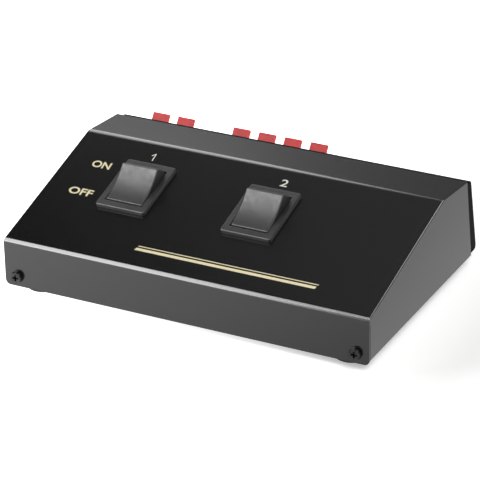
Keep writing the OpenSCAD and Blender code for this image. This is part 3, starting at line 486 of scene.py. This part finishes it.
def area_light(name, direction, distance, size, power, target):
    """A soft box that faces the target from the given direction."""
    data = bpy.data.lights.new(name, "AREA")
    data.shape = "RECTANGLE"
    data.size, data.size_y = size
    data.energy = power
    light = link_object(name, data)
    towards = Vector(direction).normalized()
    light.location = target + distance * towards
    light.rotation_mode = "QUATERNION"
    light.rotation_quaternion = (-towards).to_track_quat("-Z", "Y")
    return light


# ---- printed marks ----
def printed_text(words, height, bold, marks):
    """A word as a thin skin of ink about its middle, its strokes widened by bold."""
    curve = bpy.data.curves.new("words", "FONT")
    curve.body = words
    curve.align_x = "CENTER"
    curve.align_y = "CENTER"
    capital_share = 0.73
    curve.size = height / capital_share
    curve.shear = marks.slant
    curve.offset = bold
    curve.extrude = marks.ink_thickness
    text = link_object("words", curve)
    bpy.context.view_layer.update()
    mesh = bpy.data.meshes.new_from_object(
        text.evaluated_get(bpy.context.evaluated_depsgraph_get()))
    bpy.data.objects.remove(text)
    return mesh


def printed_outline(points, marks):
    """A flat shape of ink with the given corners in millimetres, leaning like the letters."""
    bm = bmesh.new()
    corners = [bm.verts.new(((x + marks.slant * y) * MM, y * MM, 0)) for x, y in points]
    face = bm.faces.new(corners)
    # without a normal, the inner corners would be filled in
    face.normal_update()
    bmesh.ops.triangulate(bm, faces=[face])
    raised = bmesh.ops.extrude_face_region(bm, geom=bm.faces[:])["geom"]
    bmesh.ops.translate(bm, vec=(0, 0, marks.ink_thickness),
                        verts=[item for item in raised if isinstance(item, bmesh.types.BMVert)])
    bmesh.ops.recalc_face_normals(bm, faces=bm.faces[:])
    return mesh_of(bm, "outline")


def printed_stripe(length, width, lean, marks):
    """A stripe of ink with slanted ends, about its middle."""
    bm = bmesh.new()
    bmesh.ops.create_cube(bm, size=1)
    bmesh.ops.scale(bm, vec=(length, width, 2 * marks.ink_thickness), verts=bm.verts)
    for vert in bm.verts:
        vert.co.x += lean * vert.co.y
    return mesh_of(bm, "stripe")


def print_mark(name, mesh, ink, marks, width=1.0):
    """Prints a mark on its place on the slope, widened by the factor width. The place goes into
    the mesh, so that the object sits at the origin."""
    x, up_slope = MARK_PLACES[name]
    fold = Vector((0, COVER_LOW.y, marks.fold_height))
    mesh.transform(Matrix.Translation(fold) @ Matrix.Rotation(marks.slope_angle, 4, "X")
                   @ Matrix.Translation(Vector((x * MM, up_slope * MM, 0)))
                   @ Matrix.Diagonal((width, 1, 1, 1)))
    mesh.name = name
    mesh.materials.append(ink)
    piece = link_object(name, mesh)
    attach(piece, CASE)


# ---- operators ----
class BOX_OT_case(bpy.types.Operator):
    """Finish the cover, the chassis, the feet and the screws"""

    bl_idname = "switch_box.case"
    bl_label = "Case"

    def execute(self, context):
        finish_slots({
            "cover_paint": satin_enamel,
            "chassis_paint": matt_enamel,
            "black_screw": black_oxide,
            "zinc_screw": zinc_plate,
            "foot_rubber": foot_rubber,
        })
        return {"FINISHED"}


class BOX_OT_switches(bpy.types.Operator):
    """Finish the two rocker switches"""

    bl_idname = "switch_box.switches"
    bl_label = "Rocker switches"

    def execute(self, context):
        finish_slots({
            "switch_body": body_nylon,
            "switch_rocker": rocker_nylon,
            "plunger_nylon": plunger_nylon,
            "spring_wire": spring_steel,
            "contact_brass": rolled_brass,
        })
        return {"FINISHED"}


class BOX_OT_terminals(bpy.types.Operator):
    """Finish the two terminal blocks and their levers"""

    bl_idname = "switch_box.terminals"
    bl_label = "Spring-clip terminals"

    def execute(self, context):
        finish_slots({
            "terminal_body": terminal_abs,
            "phenolic_board": phenolic_board,
            "tinned_strip": tinned_strip,
            "lever_red": lever_red,
            "lever_black": lever_black,
        })
        return {"FINISHED"}


class BOX_OT_wiring(bpy.types.Operator):
    """Finish the hook-up wires inside the case"""

    bl_idname = "switch_box.wiring"
    bl_label = "Wiring"

    def execute(self, context):
        finish_slots({
            "wire_red": lambda: wire_pvc("red_pvc", "#8E1216", "#A8181C"),
            "wire_orange": lambda: wire_pvc("orange_pvc", "#B4560F", "#CC6A1A"),
            "wire_black": lambda: wire_pvc("black_pvc", "#101010", "#1A1A1A"),
        })
        return {"FINISHED"}


class BOX_OT_marks(bpy.types.Operator):
    """Print the switch numbers, ON, OFF and two plain stripes on the slope"""

    bl_idname = "switch_box.marks"
    bl_label = "Printed marks"

    def execute(self, context):
        marks = context.scene.box_marks
        letter_ink = screen_ink("cream_screen_ink", marks.letter_ink)
        digit_ink = screen_ink("white_screen_ink", marks.digit_ink)
        bold = 0.15 * MM
        fine = 0.05 * MM
        print_mark("mark_on", printed_text("ON", marks.letter_height, bold, marks),
                   letter_ink, marks)
        print_mark("mark_off", printed_text("OFF", marks.letter_height, bold, marks),
                   letter_ink, marks, width=1.14)
        print_mark("mark_1", printed_outline(NUMERAL_ONE, marks), digit_ink, marks)
        print_mark("mark_2", printed_text("2", marks.digit_height, fine, marks),
                   digit_ink, marks, width=1.2)
        stripe_length = 87 * MM
        stripe_lean = 0.3
        for name, stripe_width in {"stripe_fine": 0.5 * MM, "stripe_broad": 1.6 * MM}.items():
            print_mark(name, printed_stripe(stripe_length, stripe_width, stripe_lean, marks),
                       letter_ink, marks)
        return {"FINISHED"}


class BOX_OT_stage(bpy.types.Operator):
    """Set up the table, the room, the lights and the camera"""

    bl_idname = "switch_box.stage"
    bl_label = "Studio"

    def execute(self, context):
        studio = context.scene.box_studio
        self.table(studio)
        self.room(context.scene, studio)
        self.lights()
        self.camera(context.scene, studio)
        context.scene.view_settings.view_transform = "Standard"
        return {"FINISHED"}

    def table(self, studio):
        """A wide light table under the feet."""
        half_width = 3
        bm = bmesh.new()
        bmesh.ops.create_grid(bm, x_segments=1, y_segments=1, size=half_width)
        bmesh.ops.translate(bm, vec=(0, 0, CAD_LOW.z), verts=bm.verts)
        floor = link_object("floor", mesh_of(bm, "floor"))
        floor.data.materials.append(light_table(studio.glow_left, studio.glow_right))

    def room(self, scene, studio):
        """A white room whose brightness changes from left to right and from eye level to the
        ceiling, as the cover's faces mirror it. Its open side, to the right, lights the table."""
        world = bpy.data.worlds.new("white_room")
        scene.world = world
        world.use_nodes = True
        tree = world.node_tree
        towards = add(tree, "ShaderNodeSeparateXYZ", {
            "Vector": add(tree, "ShaderNodeTexCoord").outputs["Generated"]}).outputs
        # limits of the unit vector that points at the room: in X the part that the cover mirrors
        # and the edges of the open side, and in Z eye level and the ceiling
        mirrored_left, mirrored_right = -0.47, -0.35
        open_left, open_right = 0.0, 0.4
        eye_level, overhead = 0.3, 0.75
        open_side_light = 0.3
        horizon, ceiling = [
            add(tree, "ShaderNodeMapRange", {
                "Value": towards["X"], "From Min": mirrored_left, "From Max": mirrored_right,
                "To Min": left, "To Max": right}).outputs["Result"]
            for left, right in (studio.horizon, studio.ceiling)]
        level = add(tree, "ShaderNodeMapRange", {
            "Value": towards["Z"], "From Min": eye_level, "From Max": overhead,
            "To Min": horizon, "To Max": ceiling}, interpolation_type="SMOOTHSTEP")
        window = add(tree, "ShaderNodeMapRange", {
            "Value": towards["X"], "From Min": open_left, "From Max": open_right,
            "To Min": 0, "To Max": open_side_light})
        total = add(tree, "ShaderNodeMath", {
            0: level.outputs["Result"], 1: window.outputs["Result"]}, operation="ADD")
        background = tree.nodes["Background"].inputs
        background["Color"].default_value = (1, 1, 1, 1)
        tree.links.new(total.outputs["Value"], background["Strength"])

    def lights(self):
        """One soft box that lights the whole set, and the cards that the folds mirror."""
        target = Vector((0, 0, 20 * MM))
        area_light("soft_box", (0.5, -0.35, 0.8), distance=2.2, size=(1.4, 1.4), power=27,
                   target=target)
        cover_only = bpy.data.collections.new("lit_by_the_screened_cards")
        cover_only.objects.link(bpy.data.objects["cover"])
        for name, (direction, size, power) in CARDS.items():
            card = area_light(name, direction, CARD_DISTANCE, size, power, target)
            card.visible_diffuse = False
            card.visible_transmission = False
            if name in SCREENED_CARDS:
                card.light_linking.receiver_collection = cover_only

    def camera(self, scene, studio):
        """A long lens from the right of the front, looking down."""
        data = bpy.data.cameras.new("camera")
        data.sensor_width = 36
        data.lens = studio.focal_length
        camera = link_object("camera", data)
        view = Vector((-math.sin(studio.yaw) * math.cos(studio.pitch),
                       math.cos(studio.yaw) * math.cos(studio.pitch),
                       -math.sin(studio.pitch)))
        # the point that the picture turns about: right of the middle, behind the front edge and
        # above the table
        focus = Vector((4.37 * MM, COVER_LOW.y + 47.184 * MM, 23 * MM))
        camera.rotation_mode = "QUATERNION"
        camera.rotation_quaternion = (view.to_track_quat("-Z", "Y")
                                      @ Quaternion((0, 0, 1), studio.roll))
        camera.location = focus - studio.distance * view
        scene.camera = camera


class BOX_PT_panel(bpy.types.Panel):
    """Lists the pieces and the studio"""

    bl_label = "Switch Box"
    bl_idname = "BOX_PT_panel"
    bl_space_type = "VIEW_3D"
    bl_region_type = "UI"
    bl_category = "Switch Box"

    def draw(self, context):
        for operator in OPERATORS:
            self.layout.operator(operator.bl_idname)


OPERATORS = (BOX_OT_case, BOX_OT_switches, BOX_OT_terminals, BOX_OT_wiring, BOX_OT_marks,
             BOX_OT_stage)
GROUPS = {"box_marks": MarkSettings, "box_finish": FinishSettings, "box_studio": StudioSettings}


def register():
    for group in GROUPS.values():
        bpy.utils.register_class(group)
    for operator in OPERATORS:
        bpy.utils.register_class(operator)
    bpy.utils.register_class(BOX_PT_panel)
    for name, group in GROUPS.items():
        setattr(bpy.types.Scene, name, bpy.props.PointerProperty(type=group))


def unregister():
    for name in GROUPS:
        delattr(bpy.types.Scene, name)
    bpy.utils.unregister_class(BOX_PT_panel)
    for operator in reversed(OPERATORS):
        bpy.utils.unregister_class(operator)
    for group in reversed(GROUPS.values()):
        bpy.utils.unregister_class(group)


def main():
    register()
    bpy.ops.switch_box.case()
    bpy.ops.switch_box.switches()
    bpy.ops.switch_box.terminals()
    bpy.ops.switch_box.wiring()
    bpy.ops.switch_box.marks()
    bpy.ops.switch_box.stage()


if __name__ == "__main__":
    main()
